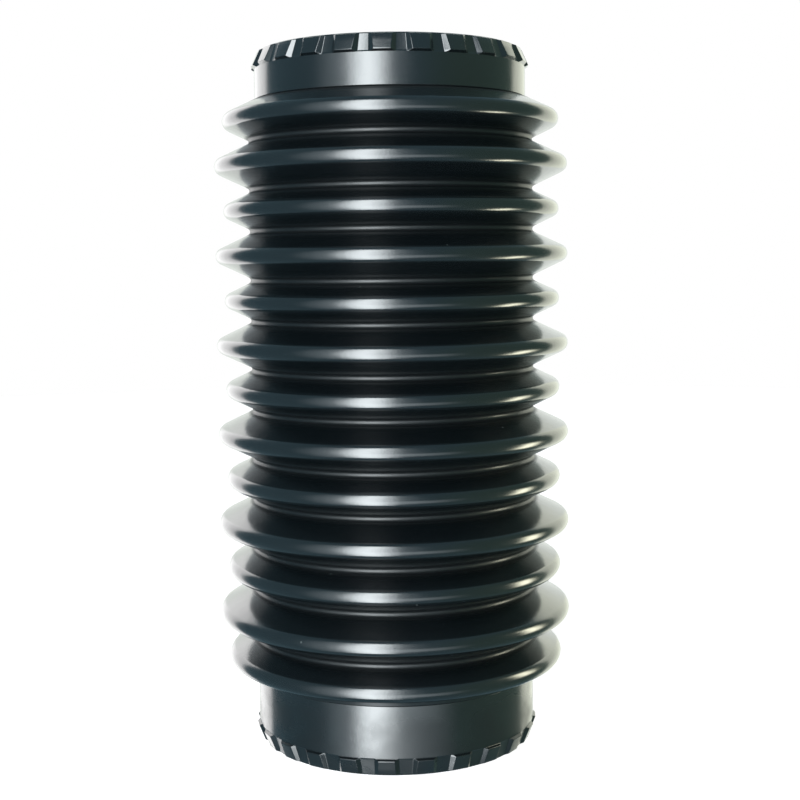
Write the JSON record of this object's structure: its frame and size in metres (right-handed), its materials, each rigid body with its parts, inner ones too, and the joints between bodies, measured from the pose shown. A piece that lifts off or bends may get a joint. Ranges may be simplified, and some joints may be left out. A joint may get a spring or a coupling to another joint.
{
  "type": "rubber bellows boot",
  "caption": "Black rubber concertina sleeve with a toothed collar at each end, which covers and seals a sliding rod as it moves in and out of its tube.",
  "frame": {"origin": "centre of the bottom end face, on the boot's axis", "axes": "+Z along the boot's axis, from the wider bottom collar up to the top collar; -Y is the front, and +X is to its right"},
  "size_m": [0.0834, 0.0834, 0.1629],
  "materials": {
    "rubber": "semi-gloss moulded black rubber"
  },
  "bodies": {
    "root": {"bellows_boot": "rubber"}
  },
  "joints": []
}
